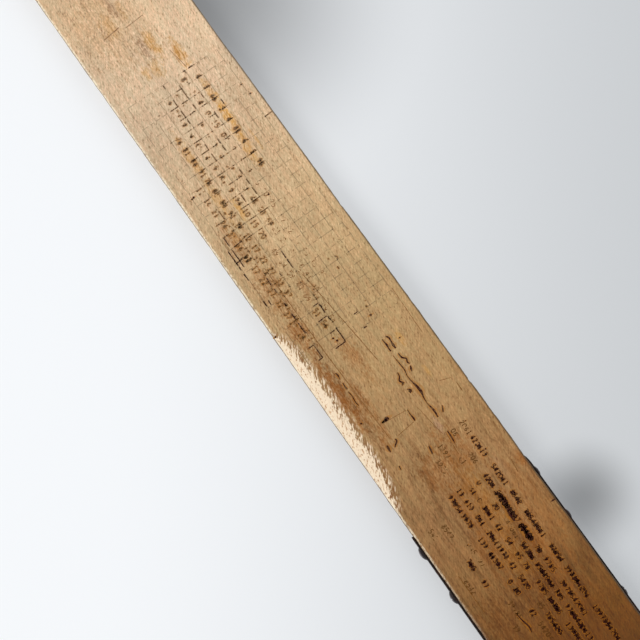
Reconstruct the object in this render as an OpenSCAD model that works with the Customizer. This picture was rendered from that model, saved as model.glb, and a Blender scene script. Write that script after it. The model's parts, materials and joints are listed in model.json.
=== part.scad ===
// Two-fold wooden folding rule: two flat legs joined end to end by a pair of
// strap hinges on the narrow edges. Opened straight it lies on its back, and it
// folds printed face to printed face. +X runs from leg A to leg B, +Y across
// the width, +Z up out of the printed face. The origin is under the joint, on
// the plane that the opened rule rests on.

/* [Legs] */
// Length of one leg, half of the opened rule
leg_length = 304.8; // [200:0.1:400]
// Width of a leg
leg_width = 38.1; // [30:0.1:50]
// Thickness of a leg
leg_thickness = 9.5; // [8:0.1:14]
// Radius eased onto the four long edges
edge_radius = 0.7; // [0.3:0.1:1.5]
// Gap left between the two butting ends
joint_gap = 0.3; // [0.2:0.05:0.8]

/* [Hinge straps] */
// Length of a strap from its round end to the butting end of the leg
strap_length = 72; // [60:1:90]
// Width of a strap, measured down the narrow edge
strap_width = 6; // [5.6:0.1:8.4]
// Thickness of the strap metal
strap_thickness = 0.5; // [0.4:0.1:1.2]
// Outer radius of the hinge eye
eye_radius = 4.6; // [4:0.1:5.4]
// Height of the pivot above the printed faces
pivot_lift = 0.25; // [0.15:0.05:0.5]
// Distance from the pivot at which the outer straps start to step outwards
step_start = 8.4; // [7.5:0.1:10]
// Length over which they step
step_run = 2.2; // [1.8:0.1:2.6]

/* [Pivots] */
// Radius of the rivet shank
rivet_radius = 1.5; // [1.2:0.1:1.8]
// Radial running clearance in the moving eye
rivet_clearance = 0.06; // [0.03:0.01:0.1]
// Thickness of the washer between the two eyes
spacer_thickness = 0.3; // [0.3:0.1:0.6]
// Thickness of the washer under the rivet's head
head_washer_thickness = 0.4; // [0.3:0.1:0.6]
// Radius of the rivet's round head
rivet_head_radius = 2.9; // [2.5:0.1:3.4]
// Height of the rivet's round head
rivet_head_height = 1.2; // [0.8:0.1:1.6]
// Gap on each side of the moving eye
face_clearance = 0.05; // [0.03:0.01:0.1]

/* [Screws] */
// Distance from a strap's round end to its first screw
first_screw = 5.4; // [4.5:0.1:7]
// Spacing of the two screws of a pair
screw_pitch = 14.4; // [12:0.1:18]
// Distance from the butting end to the nearest screw
last_screw = 12.5; // [12:0.1:16]
// Radius of the screw shank
shank_radius = 1.1; // [0.9:0.1:1.4]
// Length of the shank under the head
shank_length = 9.5; // [8:0.1:12]
// Radius of the round head
screw_head_radius = 2.1; // [1.9:0.05:2.6]
// Height of the round head
screw_head_height = 0.9; // [0.8:0.1:1.8]
// Width of the driver slot
slot_width = 0.6; // [0.4:0.1:0.8]
// Depth of the driver slot
slot_depth = 0.45; // [0.3:0.05:0.7]

/* [End tips] */
// Length of the metal that wraps over each free end
tip_length = 12; // [8:0.5:18]
// Thickness of that metal, let in flush
tip_thickness = 0.8; // [0.5:0.1:1.2]
// Radius of the pins through the tip
tip_pin_radius = 0.8; // [0.6:0.1:1]
// Spacing of the three pins across the leg
tip_pin_spacing = 12.5; // [10:0.5:14]

/* [Register pin] */
// Distance of the register pin from the joint
register_distance = 284; // [150:1:288]
// Radius of the pin that keeps the closed legs in line
register_radius = 1.2; // [0.9:0.1:1.6]
// How far it stands out of the face
register_height = 2.2; // [1.5:0.1:3]
// How deep it is driven into its leg
register_depth = 5.5; // [4:0.5:7]
// Radial clearance of the pin in its bush
register_clearance = 0.15; // [0.1:0.05:0.3]
// Outer radius of the bush
bush_radius = 2.2; // [1.9:0.1:2.8]
// Depth of the bush
bush_depth = 3.6; // [3:0.1:5]

/* [Hidden] */

$fn = 64;

cut = 0.5;                                    // overrun of a cutting body
half_width = leg_width / 2;                   // also the plane the straps lie on
mid_height = leg_thickness / 2;
butt_x = joint_gap / 2;                       // butting end of a leg
pivot_z = leg_thickness + pivot_lift;
strap_low = mid_height - strap_width / 2;
strap_high = mid_height + strap_width / 2;
step_out = strap_thickness + spacer_thickness + face_clearance;
spacer_y = half_width + strap_thickness;
outer_eye_y = half_width + step_out;
head_washer_y = outer_eye_y + strap_thickness + face_clearance;
rivet_head_y = head_washer_y + head_washer_thickness;
washer_radius = eye_radius - 0.8;
countersink_radius = rivet_radius + 0.5;      // flush inner end of the rivet
countersink_depth = 0.7 * strap_thickness;
screw_seat_y = half_width + strap_thickness;
screw_tip = 2;                                // length of the screw's point
tip_pin_x = leg_length - tip_length * 0.55;

// Screw positions along a strap, measured from the joint
screw_x = [
    strap_length - first_screw,
    strap_length - first_screw - screw_pitch,
    last_screw + screw_pitch,
    last_screw
];
// Resting angles of the driver slots, strap by strap
slots_a_front = [8, 90, 152, 40];
slots_a_back = [74, 20, 118, 165];
slots_b_front = [30, 132, 62, 100];
slots_b_back = [110, 48, 5, 141];

// Sphere radius of a cap with the given base radius and height
function cap_sphere(base, height) = (base * base + height * height) / (2 * height);

// Direction from a circle's centre to where the tangent from the point (x, z) touches it
function tangent_angle(x, z, r) = atan2(z, x) + acos(r / norm([x, z]));

// Leg B is leg A turned end for end; back parts are front parts mirrored
module on_leg_b() {
    mirror([1, 0, 0]) children();
}

module on_back() {
    mirror([0, 1, 0]) children();
}

// ---- Wooden legs ----

// Cross-section across the width and through the thickness, with eased edges
module leg_section(width, thickness) {
    translate([-width / 2 + edge_radius, 0]) square([width - 2 * edge_radius, thickness]);
    translate([-width / 2, edge_radius]) square([width, thickness - 2 * edge_radius]);
    for (side = [-1, 1], level = [edge_radius, thickness - edge_radius]) {
        translate([side * (width / 2 - edge_radius), level]) circle(r = edge_radius);
    }
}

// Bar of that section from x = far to x = near, both on leg A's side
module leg_bar(far, near) {
    translate([-far, 0, 0])
        rotate([90, 0, 90])
            linear_extrude(height = far - near) leg_section(leg_width, leg_thickness);
}

// Wood left inside the tip once its seat has been cut
module tip_seat_core() {
    translate([-leg_length + tip_thickness, -half_width - cut, tip_thickness])
        cube([tip_length, leg_width + 2 * cut, leg_thickness - 2 * tip_thickness]);
}

module plain_leg() {
    difference() {
        union() {
            leg_bar(leg_length - tip_length, butt_x);
            intersection() {
                leg_bar(leg_length - tip_thickness, leg_length - tip_length - cut);
                tip_seat_core();
            }
        }
        screw_shanks();
        on_back() screw_shanks();
        tip_pin_row(cut);
    }
}

module leg_a() {
    color("burlywood")
        difference() {
            plain_leg();
            translate([-register_distance, 0, leg_thickness - bush_depth])
                cylinder(r = bush_radius, h = bush_depth + cut);
        }
}

module leg_b() {
    color("burlywood")
        difference() {
            on_leg_b() plain_leg();
            translate([register_distance, 0, leg_thickness - register_depth])
                cylinder(r = register_radius, h = register_depth + cut);
        }
}

// ---- Hinge straps, drawn for the front edge ----

// Side outline on leg A's side: round far end, straight band, tapered into the eye
module strap_outline() {
    taper_x = -step_start + 2;
    taper_reach = eye_radius - 0.03;          // the taper ends just inside the eye's rim
    angle = tangent_angle(taper_x, strap_low - pivot_z, eye_radius);
    far_centre = -strap_length + strap_width / 2;
    translate([far_centre, mid_height]) circle(r = strap_width / 2);
    polygon([
        [far_centre, strap_high],
        [far_centre, strap_low],
        [taper_x, strap_low],
        [taper_reach * cos(angle), pivot_z + taper_reach * sin(angle)],
        [0, pivot_z],
        [-1, strap_high]
    ]);
    translate([0, pivot_z]) circle(r = eye_radius);
}

// Plate cut to that outline, between two distances out from the wood
module strap_plate(inner, outer) {
    translate([0, -half_width - inner, 0])
        rotate([90, 0, 0])
            linear_extrude(height = outer - inner) strap_outline();
}

// Plan view of the stepped strap on leg A's side, as distance out from the wood
module stepped_plan() {
    polygon([
        [-strap_length - cut, 0],
        [-step_start, 0],
        [-step_start + step_run, step_out],
        [eye_radius + cut, step_out],
        [eye_radius + cut, step_out + strap_thickness],
        [-step_start + step_run - 0.4, step_out + strap_thickness],
        [-step_start - 0.4, strap_thickness],
        [-strap_length - cut, strap_thickness]
    ]);
}

module screw_clearances() {
    for (x = screw_x) {
        translate([-x, -half_width + cut, mid_height])
            rotate([90, 0, 0]) cylinder(r = shank_radius, h = 3 * strap_thickness + cut);
    }
}

// Bore on the pivot axis, opened out for the rivet's flush inner end
module countersunk_bore() {
    flare = (countersink_radius - rivet_radius) / countersink_depth;
    translate([0, -half_width, pivot_z])
        rotate([90, 0, 0])
            rotate_extrude()
                polygon([
                    [0, -cut],
                    [countersink_radius + flare * cut, -cut],
                    [rivet_radius, countersink_depth],
                    [rivet_radius, strap_thickness + cut],
                    [0, strap_thickness + cut]
                ]);
}

// Straight running bore on the pivot axis
module running_bore() {
    translate([0, -half_width + cut, pivot_z])
        rotate([90, 0, 0])
            cylinder(r = rivet_radius + rivet_clearance, h = step_out + 2 * strap_thickness + cut);
}

// Inner strap, fixed to leg A
module inner_strap() {
    difference() {
        strap_plate(0, strap_thickness);
        screw_clearances();
        countersunk_bore();
    }
}

// Outer strap, fixed to leg B, stepped outwards past the inner one
module outer_strap() {
    on_leg_b()
        difference() {
            intersection() {
                strap_plate(0, step_out + strap_thickness);
                translate([0, -half_width, 0])
                    mirror([0, 1, 0])
                        linear_extrude(height = pivot_z + eye_radius + cut) stepped_plan();
            }
            screw_clearances();
            running_bore();
        }
}

module strap_a_front() {
    color("dimgray") inner_strap();
}

module strap_a_back() {
    color("dimgray") on_back() inner_strap();
}

module strap_b_front() {
    color("dimgray") outer_strap();
}

module strap_b_back() {
    color("dimgray") on_back() outer_strap();
}

// ---- Round-head wood screws ----

// Shank with its point, axis along +Z, starting at the head's seat and going down
module screw_shank() {
    translate([0, 0, -shank_length + screw_tip])
        cylinder(r = shank_radius, h = shank_length - screw_tip);
    translate([0, 0, -shank_length])
        cylinder(r1 = 0.2, r2 = shank_radius, h = screw_tip);
}

module screw_shanks() {
    for (x = screw_x) {
        translate([-x, -screw_seat_y, mid_height]) rotate([90, 0, 0]) screw_shank();
    }
}

// Slotted domed head that sits on the plane z = 0
module screw_head(slot_angle) {
    dome = cap_sphere(screw_head_radius, screw_head_height);
    difference() {
        intersection() {
            translate([0, 0, screw_head_height - dome]) sphere(r = dome);
            cylinder(r = screw_head_radius + cut, h = screw_head_height);
        }
        rotate([0, 0, slot_angle])
            translate([-screw_head_radius - cut, -slot_width / 2, screw_head_height - slot_depth])
                cube([2 * (screw_head_radius + cut), slot_width, slot_depth + cut]);
    }
}

// The four screws of one strap on leg A's front edge
module screw_row(slot_angles) {
    for (i = [0:3]) {
        translate([-screw_x[i], -screw_seat_y, mid_height])
            rotate([90, 0, 0]) {
                screw_head(slot_angles[i]);
                screw_shank();
            }
    }
}

module screws_a_front() {
    color("darkslategray") screw_row(slots_a_front);
}

module screws_a_back() {
    color("darkslategray") on_back() screw_row(slots_a_back);
}

module screws_b_front() {
    color("darkslategray") on_leg_b() screw_row(slots_b_front);
}

module screws_b_back() {
    color("darkslategray") on_back() on_leg_b() screw_row(slots_b_back);
}

// ---- Pivots, drawn for the front edge ----

// Rivet: flush countersunk inner end, straight shank, low round head
module pivot_rivet() {
    dome = cap_sphere(rivet_head_radius, rivet_head_height);
    translate([0, -half_width, pivot_z])
        rotate([90, 0, 0]) {
            cylinder(r1 = countersink_radius, r2 = rivet_radius, h = countersink_depth);
            cylinder(r = rivet_radius, h = rivet_head_y - half_width);
        }
    translate([0, -rivet_head_y, pivot_z])
        rotate([90, 0, 0])
            intersection() {
                translate([0, 0, rivet_head_height - dome]) sphere(r = dome);
                cylinder(r = rivet_head_radius + cut, h = rivet_head_height);
            }
}

// Flat ring on the pivot axis, from the given distance outwards
module pivot_washer(start_y, thickness, radius) {
    translate([0, -start_y, pivot_z])
        rotate([90, 0, 0])
            difference() {
                cylinder(r = radius, h = thickness);
                translate([0, 0, -cut]) cylinder(r = rivet_radius, h = thickness + 2 * cut);
            }
}

module pivot_rivet_front() {
    color("slategray") pivot_rivet();
}

module pivot_rivet_back() {
    color("slategray") on_back() pivot_rivet();
}

module spacer_washer_front() {
    color("goldenrod") pivot_washer(spacer_y, spacer_thickness, washer_radius);
}

module spacer_washer_back() {
    color("goldenrod") on_back() pivot_washer(spacer_y, spacer_thickness, washer_radius);
}

module head_washer_front() {
    color("gray") pivot_washer(head_washer_y, head_washer_thickness, washer_radius);
}

module head_washer_back() {
    color("gray") on_back() pivot_washer(head_washer_y, head_washer_thickness, washer_radius);
}

// ---- End tips ----

// Three pins through the tip and the wood, running past both faces by overrun
module tip_pin_row(overrun) {
    for (i = [-1:1]) {
        translate([-tip_pin_x, i * tip_pin_spacing, -overrun])
            cylinder(r = tip_pin_radius, h = leg_thickness + 2 * overrun);
    }
}

// Bent cap over the free end of leg A, flush with the wood all round
module end_tip() {
    difference() {
        leg_bar(leg_length, leg_length - tip_length);
        tip_seat_core();
        tip_pin_row(cut);
    }
}

module end_tip_a() {
    color("dimgray") end_tip();
}

module end_tip_b() {
    color("dimgray") on_leg_b() end_tip();
}

module tip_pins_a() {
    color("darkgoldenrod") tip_pin_row(0);
}

module tip_pins_b() {
    color("darkgoldenrod") on_leg_b() tip_pin_row(0);
}

// ---- Register pin and its bush ----

module register_pin() {
    color("silver")
        translate([register_distance, 0, leg_thickness - register_depth]) {
            cylinder(r = register_radius, h = register_depth + register_height - register_radius);
            translate([0, 0, register_depth + register_height - register_radius])
                sphere(r = register_radius);
        }
}

module register_bush() {
    color("goldenrod")
        translate([-register_distance, 0, leg_thickness - bush_depth])
            difference() {
                cylinder(r = bush_radius, h = bush_depth);
                translate([0, 0, -cut])
                    cylinder(r = register_radius + register_clearance, h = bush_depth + 2 * cut);
            }
}

leg_a();
leg_b();
strap_a_front();
strap_a_back();
strap_b_front();
strap_b_back();
screws_a_front();
screws_a_back();
screws_b_front();
screws_b_back();
pivot_rivet_front();
pivot_rivet_back();
spacer_washer_front();
spacer_washer_back();
head_washer_front();
head_washer_back();
end_tip_a();
end_tip_b();
tip_pins_a();
tip_pins_b();
register_pin();
register_bush();
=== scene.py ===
import json
import math

import bmesh
import bpy
from mathutils import Matrix, Vector, noise


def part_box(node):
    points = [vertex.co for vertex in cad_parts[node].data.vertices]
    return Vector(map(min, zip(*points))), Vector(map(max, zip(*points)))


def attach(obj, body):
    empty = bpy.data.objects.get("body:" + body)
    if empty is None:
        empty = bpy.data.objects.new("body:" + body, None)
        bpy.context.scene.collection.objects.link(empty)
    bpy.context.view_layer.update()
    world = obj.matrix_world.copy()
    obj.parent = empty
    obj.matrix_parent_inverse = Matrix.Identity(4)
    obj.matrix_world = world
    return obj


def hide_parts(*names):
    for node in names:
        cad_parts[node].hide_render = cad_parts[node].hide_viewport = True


# Two-fold wooden folding rule: worn printed legs, strap hinges, screws, tips.
# Lengths are in millimetres until a mesh is made, and +X runs from leg A to leg B.

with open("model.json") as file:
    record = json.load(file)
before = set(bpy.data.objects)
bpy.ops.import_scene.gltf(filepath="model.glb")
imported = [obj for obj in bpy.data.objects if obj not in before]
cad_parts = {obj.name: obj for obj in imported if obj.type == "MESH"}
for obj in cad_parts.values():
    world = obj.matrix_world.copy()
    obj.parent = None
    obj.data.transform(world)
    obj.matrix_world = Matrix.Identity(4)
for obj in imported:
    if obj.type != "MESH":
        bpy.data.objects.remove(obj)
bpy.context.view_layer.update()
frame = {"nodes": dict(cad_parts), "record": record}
mm = 0.001
body = {"a": "leg_a_side", "b": "leg_b_side"}

woodLow, woodHigh = [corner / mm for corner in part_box("leg_a")]
tipLow, tipHigh = [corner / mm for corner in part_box("end_tip_a")]
half = woodHigh.y                                  # half the width of a leg
thick = woodHigh.z                                 # its thickness, so the face is at z = thick
reach = -tipLow.x                                  # from the joint to the free end
tipStart = -tipHigh.x                              # where the metal tip ends
buttGap = -woodHigh.x                              # from the joint's middle to the wood


# Camera, lamps and floor.

shot = {
    "lens": 50.625,                                # on a 36 mm sensor
    "from": (-107.81, -25.0, 260.44),
    "at": (-135.91, -5.48, 9.5),
    "up": (-0.809, 0.572, 0.1351),
}


def aimed(start, target, up):
    back = (Vector(start) - Vector(target)).normalized()
    right = Vector(up).cross(back).normalized()
    turn = Matrix((right, back.cross(right), back)).transposed().to_4x4()
    return Matrix.Translation(Vector(start) * mm) @ turn


def makeCamera():
    data = bpy.data.cameras.new("camera")
    data.lens = shot["lens"]
    data.sensor_width = 36
    data.clip_start = 0.01
    data.clip_end = 20
    camera = bpy.data.objects.new("camera", data)
    bpy.context.scene.collection.objects.link(camera)
    camera.matrix_world = aimed(shot["from"], shot["at"], shot["up"])
    bpy.context.scene.camera = camera


lamps = {
    "window": {"from": (-260, -430, 600), "at": (-130, -5, 0), "size": 320, "watts": 2.1,
               "colour": (1.0, 0.975, 0.94)},
    "bounce": {"from": (-700, 120, 520), "at": (-150, 0, 0), "size": 600, "watts": 1.3,
               "colour": (0.93, 0.97, 1.0)},
    "room": {"from": (500, 500, 700), "at": (60, 0, 0), "size": 700, "watts": 0.6,
             "colour": (0.95, 0.97, 1.0)},
}
roomLight = {"colour": (0.95, 0.97, 1.0), "strength": 0.56}
floorLook = {
    # near and far: the floor's colour by the window and away from it, a painted shade; glow: light that the
    # floor gives off itself, which lightens the shadows on it
    "near": (0.417, 0.426, 0.436), "far": (0.285, 0.294, 0.302), "glow": 1.15, "roughness": 0.75, "side": 6.0,
    # painted shadows, soft dark patches: x, y, radius, strength
    "paintedShadows": [(-243, 22, 76, 0.68), (-52, 28, 19, 0.55)],
}


def makeLamps():
    for name, lamp in lamps.items():
        data = bpy.data.lights.new(name, "AREA")
        data.shape = "SQUARE"
        data.size = lamp["size"] * mm
        data.energy = lamp["watts"]
        data.color = lamp["colour"]
        light = bpy.data.objects.new(name, data)
        bpy.context.scene.collection.objects.link(light)
        light.matrix_world = aimed(lamp["from"], lamp["at"], (0.1, 0.9, 0.3))
    world = bpy.data.worlds.new("room")
    world.use_nodes = True
    background = world.node_tree.nodes["Background"]
    background.inputs["Color"].default_value = (*roomLight["colour"], 1)
    background.inputs["Strength"].default_value = roomLight["strength"]
    bpy.context.scene.world = world
    bpy.context.scene.view_settings.view_transform = "Standard"


makeCamera()
makeLamps()
print("stage: camera and lamps")


# Shader kit: sums of sockets and the nodes of one finish.

class Wire:                                        # a socket that can stand in a sum
    def __init__(self, finish, socket):
        self.finish = finish
        self.socket = socket

    def out(self, name):                           # another output of the same node
        return Wire(self.finish, self.socket.node.outputs[name])

    def __add__(self, other):
        return self.finish.sum("ADD", self, other)

    def __radd__(self, other):
        return self.finish.sum("ADD", other, self)

    def __sub__(self, other):
        return self.finish.sum("SUBTRACT", self, other)

    def __rsub__(self, other):
        return self.finish.sum("SUBTRACT", other, self)

    def __mul__(self, other):
        return self.finish.sum("MULTIPLY", self, other)

    def __rmul__(self, other):
        return self.finish.sum("MULTIPLY", other, self)


class Finish:                                      # one material and its nodes
    def __init__(self, name):
        self.material = bpy.data.materials.new(name)
        self.material.use_nodes = True
        self.nodes = self.material.node_tree.nodes
        self.links = self.material.node_tree.links
        self.nodes.clear()

    def add(self, kind, settings=None, inputs=None, output=0):
        node = self.nodes.new(kind)
        for name, value in (settings or {}).items():
            if name == "stops":
                self.setStops(node.color_ramp.elements, value)
            else:
                setattr(node, name, value)
        for name, value in (inputs or {}).items():
            if isinstance(value, Wire):
                self.links.new(value.socket, node.inputs[name])
            else:
                node.inputs[name].default_value = value
        return Wire(self, node.outputs[output]) if len(node.outputs) else node

    def setStops(self, elements, stops):
        while len(elements) < len(stops):
            elements.new(1.0)
        for element, (position, colour) in zip(elements, stops):
            element.position = position
            element.color = (*colour, 1)

    def sum(self, operation, first, second):
        return self.add("ShaderNodeMath", {"operation": operation}, {0: first, 1: second})

    def larger(self, first, second):
        return self.sum("MAXIMUM", first, second)

    def away(self, value):                         # distance from zero
        return self.add("ShaderNodeMath", {"operation": "ABSOLUTE"}, {0: value})

    def rise(self, value, low, high, top=1.0):     # smooth step from 0 at low to top at high
        return self.add("ShaderNodeMapRange", {"interpolation_type": "SMOOTHSTEP"},
                        {"Value": value, "From Min": low, "From Max": high, "To Min": 0.0, "To Max": top})

    def point(self, x, y, z):
        return self.add("ShaderNodeCombineXYZ", None, {"X": x, "Y": y, "Z": z})

    def cloud(self, where, scale=1.0, detail=2.0, rough=0.5, warp=0.0):
        return self.add("ShaderNodeTexNoise", None,
                        {"Vector": where, "Scale": scale, "Detail": detail, "Roughness": rough,
                         "Distortion": warp}, "Fac")

    def mix(self, share, first, second):           # two colours
        return self.add("ShaderNodeMix", {"data_type": "RGBA"}, {0: share, 6: first, 7: second}, 2)

    def shade(self, colour, factor):               # a colour made lighter or darker
        return self.add("ShaderNodeVectorMath", {"operation": "SCALE"}, {0: colour, "Scale": factor})

    def times(self, first, second):                # two colours multiplied
        return self.add("ShaderNodeVectorMath", {"operation": "MULTIPLY"}, {0: first, 1: second})

    def bump(self, height, distance, strength=1.0):
        return self.add("ShaderNodeBump", None,
                        {"Height": height, "Distance": distance * mm, "Strength": strength})

    def surface(self, inputs):
        shader = self.add("ShaderNodeBsdfPrincipled", None, inputs)
        self.add("ShaderNodeOutputMaterial", None, {"Surface": shader})
        return self.material


def paint(red, green, blue):                       # a colour as a painter reads it, 0 to 255
    return tuple((c / 255 / 12.92) if c <= 10 else ((c / 255 + 0.055) / 1.055) ** 2.4
                 for c in (red, green, blue))


def solid(colour):
    return (*paint(*colour), 1)


def deep(colour):                                  # set deeper, because the varnish's shine lightens it
    return tuple(max(0.002, c - 0.013) for c in paint(*colour))


def makeFloor():
    side = floorLook["side"] / 2
    data = bpy.data.meshes.new("floor")
    data.from_pydata([(-side, -side, 0), (side, -side, 0), (side, side, 0), (-side, side, 0)], [],
                     [(0, 1, 2, 3)])
    floor = bpy.data.objects.new("floor", data)
    bpy.context.scene.collection.objects.link(floor)
    finish = Finish("pale floor")
    place = finish.add("ShaderNodeTexCoord", None, None, "Object")
    split = finish.add("ShaderNodeSeparateXYZ", None, {0: place})
    across = split * 0.587 + split.out("Y") * 0.809                # away from the window
    # painted shade: the floor's colour darkens away from the window
    colour = finish.mix(finish.rise(across, -0.15, 0.03), (*floorLook["near"], 1), (*floorLook["far"], 1))
    beyond = finish.rise(split.out("Y"), -0.012, 0.016)            # only behind the rule
    # painted shadows: soft dark patches darken the floor's colour
    for x, y, radius, strength in floorLook["paintedShadows"]:
        distance = finish.add("ShaderNodeVectorMath", {"operation": "DISTANCE"},
                              {0: place, 1: (x * mm, y * mm, 0)}, "Value")
        colour = finish.shade(colour, 1 - finish.rise(distance, radius * mm, 0.0, strength) * beyond)
    data.materials.append(finish.surface({"Base Color": colour, "Emission Color": colour,
                                          "Emission Strength": floorLook["glow"],
                                          "Roughness": floorLook["roughness"]}))
    floor.location.z = -0.0004                     # clear of the marks on the backs


makeFloor()
print("stage: floor")


# Wood finish.

legA = {
    "side": -1,                                    # leg A lies towards -X
    "name": "woodLegA", "node": "leg_a", "body": body["a"],
    "seed": 3.7,
    "tones": [(0, (92, 56, 26)), (30, (116, 76, 39)), (50, (143, 103, 62)), (70, (154, 114, 74)),
              (90, (167, 130, 88)), (110, (176, 141, 98)), (130, (182, 149, 106)),
              (150, (191, 159, 117)), (170, (201, 169, 129)), (190, (205, 174, 138)),
              (210, (210, 181, 149)), (230, (217, 187, 154)), (250, (216, 183, 146)),
              (305, (205, 170, 128))],
    # worn-down stretch of the front edge: distance from the joint, width of the wear
    "rub": [(79, 0.0), (83, 1.0), (86, 2.2), (90, 2.9), (97, 3.4), (107, 3.5), (118, 3.5),
            (127, 3.2), (134, 2.5), (137, 1.6), (141, 0.0)],
    "rubDepth": 0.85, "litEdge": 0.85,
    "stains": {
        "ochre": [(-224, 6.6, 5, 1.6, 0.85), (-208, 7.3, 7, 1.3, 0.8), (-200, 7.4, 7, 1.4, 0.95),
                  (-190, 6.6, 8, 1.5, 0.7), (-231, 1.6, 5, 1.7, 0.8), (-224, -1.4, 3.2, 1.9, 0.75),
                  (-225, -5.0, 2.6, 1.2, 0.7), (-196, -8.9, 9, 1.3, 0.55), (-181, -9.4, 11, 1.3, 0.5),
                  (-243, -6, 4, 2.5, 0.5), (-175, -6, 5, 0.9, 0.7), (-190, 9.9, 3.5, 0.4, 0.5),
                  (-245, 0, 3, 1, 0.4), (-169, -11.5, 3.5, 1.6, 0.45), (-119, 10, 3, 1, 0.45),
                  (-107, 10.8, 2, 0.7, 0.4), (-52, 0.5, 6, 4, 0.35), (-68, 2, 12, 5, 0.3)],
        "tan": [(-243, -7, 16, 9, 0.5), (-238, 1, 14, 4, 0.3), (-150, -11, 22, 6, 0.3),
                (-118, -3.5, 12, 3.5, 0.45), (-98, 3.5, 14, 2.6, 0.3), (-60, 12, 14, 3, 0.2),
                (-197, 14, 40, 3, 0.15)],
        "umber": [(-40, -12.5, 9, 5, 0.7), (-232, -1.2, 5.5, 1.2, 0.5), (-246, -2.4, 2.5, 1.1, 0.45),
                  (-118, -12.3, 12, 1.9, 0.75),
                  (-103, -12, 9, 1.3, 0.6), (-112, -8.9, 7, 1.0, 0.5), (-87, -4.2, 3, 1.3, 0.5),
                  (-89, 6.4, 4, 3.2, 0.35), (-82, -7, 8, 4, 0.25), (-73, 18.6, 2.2, 1.1, 0.75),
                  (-60, 6.4, 14, 2.4, 0.55), (-45, 2.2, 15, 6.5, 0.75), (-41, -12, 6.5, 3.8, 0.6),
                  (-70, -0.8, 22, 4.2, 0.3), (-30, 0, 22, 14, 0.55), (-85, 15, 6, 2.5, 0.2)],
        "mauve": [(-92.6, 4.3, 3, 0.9, 0.7), (-249, -1.5, 2.5, 1.2, 0.3), (-74, 12, 4, 1.2, 0.15)],
        "rust": [(-168, -12.6, 7, 2.4, 0.5), (-150, -12.2, 10, 3.2, 0.5), (-136, -12.6, 6, 3.0, 0.7),
                 (-146, -3.2, 4, 2, 0.55), (-108, -9.6, 13, 2.2, 0.55), (-116, -13.2, 12, 1.8, 0.85),
                 (-122, -3.6, 7, 2.2, 0.45), (-84, 3.4, 8, 5, 0.5), (-66, 1.4, 16, 3.4, 0.45),
                 (-72.5, 17.4, 2.4, 1.4, 0.6), (-56, -6, 9, 1.6, 0.4), (-83, -5, 5, 3.5, 0.45),
                 (-50, 8, 16, 2.6, 0.5), (-64, -3.4, 20, 2.2, 0.5), (-58, 13.5, 16, 3, 0.35),
                 (-226, 5.6, 5, 1.6, 0.3), (-78, 9.4, 6, 1.4, 0.35)],
    },
}

legB = {
    "side": 1,
    "name": "woodLegB", "node": "leg_b", "body": body["b"],
    "seed": 41.3,
    "tones": [(0, (96, 60, 28)), (28, (121, 80, 43)), (60, (146, 105, 64)), (100, (168, 131, 89)),
              (150, (189, 156, 113)), (210, (199, 168, 127)), (260, (186, 152, 108)),
              (305, (158, 120, 78))],
    "rub": [(150, 0.0), (156, 1.2), (170, 2.0), (188, 1.7), (196, 0.0)],
    "rubDepth": 0.45, "litEdge": 0.4,
    "stains": {
        "ochre": [(212, 6, 9, 2.2, 0.5), (150, -3, 12, 2.4, 0.4), (96, 9, 8, 1.6, 0.4),
                  (246, -9, 7, 2.6, 0.5), (181, 12, 6, 1.2, 0.35)],
        "tan": [(128, 0, 26, 7, 0.35), (226, 3, 20, 9, 0.3), (60, -8, 14, 5, 0.3)],
        "umber": [(38, 2, 20, 8, 0.6), (73, -12, 9, 3, 0.45), (118, 13, 7, 2, 0.35),
                  (268, 4, 9, 3, 0.4), (204, -14, 5, 1.6, 0.4), (14, -3, 16, 13, 0.5)],
        "mauve": [(165, 5, 3, 1, 0.4)],
    },
}

woodLook = {
    "lift": 1.05,                                  # overall lightness of the wood
    "paler": 0.0045,                               # how much paler it gets towards the back edge, to a mm
    "fleckSlant": -28,                             # degrees that the short rays lean from the grain
    "fleckDepth": 0.34,
    "fibreDepth": 0.26,
    "speckDepth": 0.24,
    "mottleDepth": 0.2,
    "streakDepth": 0.34, "streakFrom": 150, "streakTo": 60,        # brown streaks, close to the joint
    "blush": ((1.02, 0.985, 0.965), (0.975, 1.01, 1.0)),           # pinker and greener patches
    "dark": (0.74, 0.62, 0.46), "light": (1.13, 1.17, 1.27),       # what flecks do to the wood's colour
    # flecks: from and to in the grain, and how much
    "flecks": [("dark", 0.47, 0.36, 0.6), ("light", 0.53, 0.64, 0.6)],
    "roughness": 0.46,
    "shine": 0.2,
    "tints": {"ochre": (206, 149, 68), "tan": (176, 132, 84), "umber": (112, 66, 28),
              "rust": (154, 92, 40), "mauve": (164, 132, 112)},
    # painted shade for the back edge's rounding and the sides
    "edgeShadeColour": (74, 60, 38),
    # rubbed: the bare wood of the worn stretch, set near white so that it also carries a painted highlight of
    # its glint
    "rubbed": (248, 226, 196), "bruised": (196, 146, 98), "brink": (132, 84, 46),
    # litEdge: a painted highlight on the front edge's rounding
    "litEdge": (252, 238, 208),
    "pits": (112, 74, 40),
}


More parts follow.
